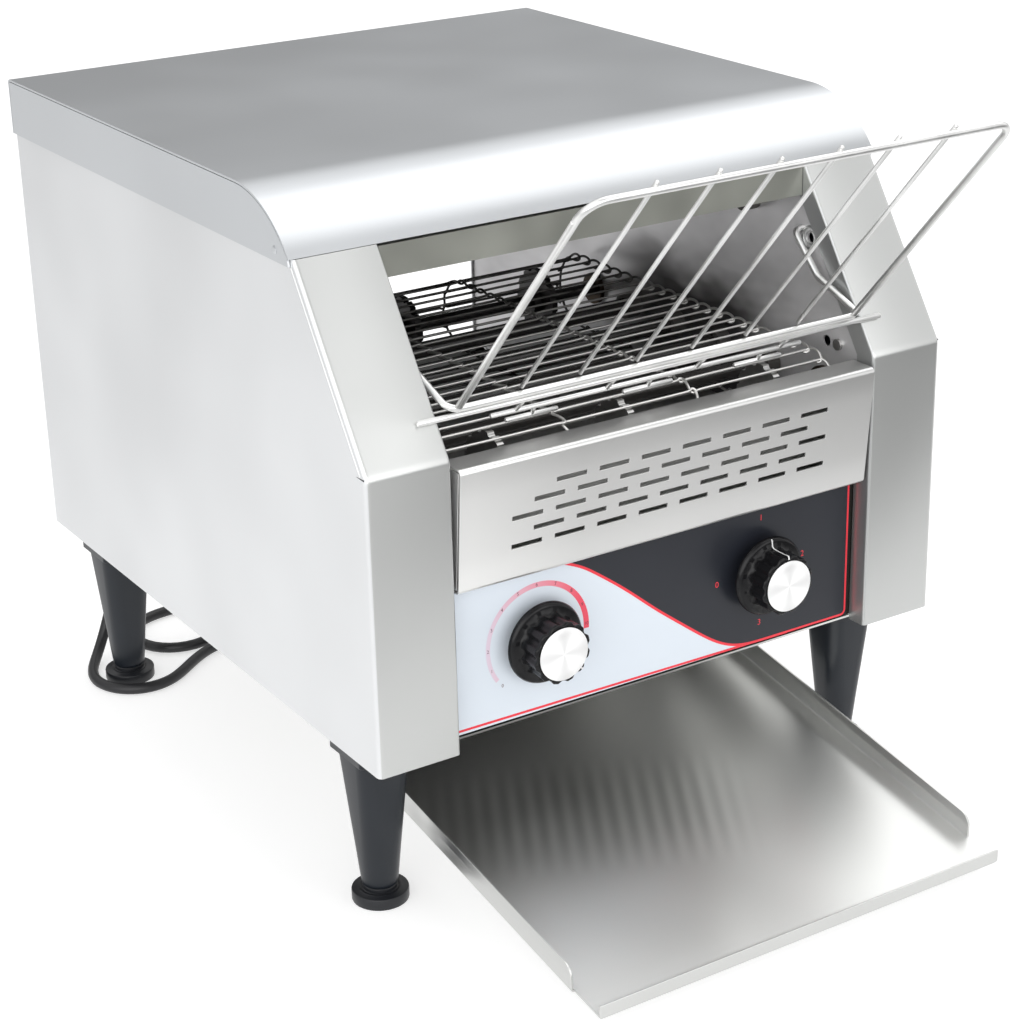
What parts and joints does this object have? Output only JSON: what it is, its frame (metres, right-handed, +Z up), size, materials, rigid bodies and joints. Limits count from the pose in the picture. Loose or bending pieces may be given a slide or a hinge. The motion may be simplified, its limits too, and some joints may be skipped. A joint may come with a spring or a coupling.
{
  "type": "conveyor toaster",
  "caption": "Countertop conveyor toaster: stainless body on adjustable legs, wire belt oven, swing-up feed rack, sloping toast tray and two control knobs.",
  "frame": {"origin": "bottom centre of the bounding box, on the surface that the feet stand on, measured without the mains cord", "axes": "+X to the right as seen from the front, +Y to the rear, +Z up"},
  "size_m": [0.3726, 0.5937, 0.4208],
  "materials": {
    "brushed_steel_side": "brushed",
    "brushed_steel_hood": "brushed",
    "brushed_steel_front": "brushed",
    "brushed_steel_tray": "brushed",
    "dull_steel": "matte",
    "oven_steel": "heat darkened",
    "printed_overlay": "printed film",
    "quartz_tube": "clear",
    "ceramic": "glazed",
    "belt_wire": "bright",
    "dark_metal": "dark",
    "bronze": "sintered",
    "motor_metal": "satin",
    "black_plastic": "satin",
    "switch_plastic": "satin",
    "knob_plastic": "semi-gloss",
    "spun_aluminium": "spun",
    "leg_plastic": "satin",
    "foot_rubber": "matte",
    "rack_chrome": "bright",
    "screw_steel": "bright",
    "cord_rubber": "satin",
    "plug_plastic": "satin"
  },
  "bodies": {
    "chassis": {"side_panel_left": "brushed_steel_side", "side_panel_right": "brushed_steel_side", "hood": "brushed_steel_hood", "front_baffle": "dull_steel", "vent_panel": "brushed_steel_front", "control_panel": "dull_steel", "panel_overlay": "printed_overlay", "bottom_plate": "dull_steel", "rear_panel": "brushed_steel_side", "chamber_wall_left": "oven_steel", "chamber_wall_right": "oven_steel", "upper_reflector": "oven_steel", "deck": "oven_steel", "upper_heaters": "quartz_tube", "lower_heaters": "quartz_tube", "heater_holders": "ceramic", "belt_upper_run": "belt_wire", "belt_lower_run": "belt_wire", "belt_front_turn": "belt_wire", "belt_rear_turn": "belt_wire", "shaft_bushes": "bronze", "gear_motor": "motor_metal", "drive_chain": "dark_metal", "fan_frame": "black_plastic", "return_chute": "brushed_steel_tray", "potentiometer": "motor_metal", "selector_switch": "switch_plastic", "terminal_block": "ceramic", "leg_front_left": "leg_plastic", "leg_front_right": "leg_plastic", "leg_rear_left": "leg_plastic", "leg_rear_right": "leg_plastic", "tray_hangers": "dull_steel", "body_screws": "screw_steel", "cord_gland": "black_plastic", "cord_tube": "cord_rubber", "cord_coil": "cord_rubber", "cord_plug": "plug_plastic"},
    "colour_knob_group": {"colour_knob": "knob_plastic", "colour_knob_cap": "spun_aluminium", "colour_spindle": "motor_metal"},
    "selector_knob_group": {"selector_knob": "knob_plastic", "selector_knob_cap": "spun_aluminium", "selector_spindle": "motor_metal"},
    "drive_shaft_group": {"drive_shaft": "dark_metal", "drive_sprockets": "dark_metal", "shaft_sprocket": "dark_metal"},
    "idler_shaft_group": {"idler_shaft": "dark_metal", "idler_sprockets": "dark_metal"},
    "motor_sprocket_group": {"motor_sprocket": "dark_metal"},
    "fan_rotor": {"fan_impeller": "black_plastic"},
    "feed_rack": {"rack_grid": "rack_chrome", "rack_arms": "rack_chrome", "rack_guides": "rack_chrome"},
    "tray": {"toast_tray": "brushed_steel_tray"},
    "front_left_foot": {"foot_front_left": "foot_rubber"},
    "front_right_foot": {"foot_front_right": "foot_rubber"},
    "rear_left_foot": {"foot_rear_left": "foot_rubber"},
    "rear_right_foot": {"foot_rear_right": "foot_rubber"}
  },
  "joints": [
    {"name": "colour_knob_turn", "type": "hinge", "parent": "chassis", "child": "colour_knob_group", "pos_m": [-0.079, -0.152, 0.149], "axis": [0, 1, 0], "range_deg": [-260, 0]},
    {"name": "selector_knob_turn", "type": "hinge", "parent": "chassis", "child": "selector_knob_group", "pos_m": [0.0695, -0.152, 0.149], "axis": [0, 1, 0], "range_deg": [0, 270]},
    {"name": "drive_shaft_spin", "type": "hinge", "parent": "chassis", "child": "drive_shaft_group", "pos_m": [0, -0.1095, 0.238], "axis": [-1, 0, 0], "continuous": true},
    {"name": "idler_shaft_spin", "type": "hinge", "parent": "chassis", "child": "idler_shaft_group", "pos_m": [0, 0.1191, 0.238], "axis": [-1, 0, 0], "continuous": true},
    {"name": "motor_sprocket_spin", "type": "hinge", "parent": "chassis", "child": "motor_sprocket_group", "pos_m": [0.153, -0.032, 0.162], "axis": [-1, 0, 0], "continuous": true},
    {"name": "fan_spin", "type": "hinge", "parent": "chassis", "child": "fan_rotor", "pos_m": [-0.07, -0.002, 0.1035], "axis": [0, 0, 1], "continuous": true},
    {"name": "feed_rack_hinge", "type": "hinge", "parent": "chassis", "child": "feed_rack", "pos_m": [0, -0.086, 0.323], "axis": [-1, 0, 0], "range_deg": [0, 80]},
    {"name": "tray_slide", "type": "slide", "parent": "chassis", "child": "tray", "axis": [0, -1, 0], "range_m": [0, 0.06]},
    {"name": "front_left_foot_screw", "type": "slide", "parent": "chassis", "child": "front_left_foot", "axis": [0, 0, -1], "range_m": [0, 0.012]},
    {"name": "front_right_foot_screw", "type": "slide", "parent": "chassis", "child": "front_right_foot", "axis": [0, 0, -1], "range_m": [0, 0.012]},
    {"name": "rear_left_foot_screw", "type": "slide", "parent": "chassis", "child": "rear_left_foot", "axis": [0, 0, -1], "range_m": [0, 0.012]},
    {"name": "rear_right_foot_screw", "type": "slide", "parent": "chassis", "child": "rear_right_foot", "axis": [0, 0, -1], "range_m": [0, 0.012]}
  ],
  "couplings": [
    {"joint": "idler_shaft_spin", "follows": "drive_shaft_spin", "ratio": 1},
    {"joint": "motor_sprocket_spin", "follows": "drive_shaft_spin", "ratio": 1}
  ]
}
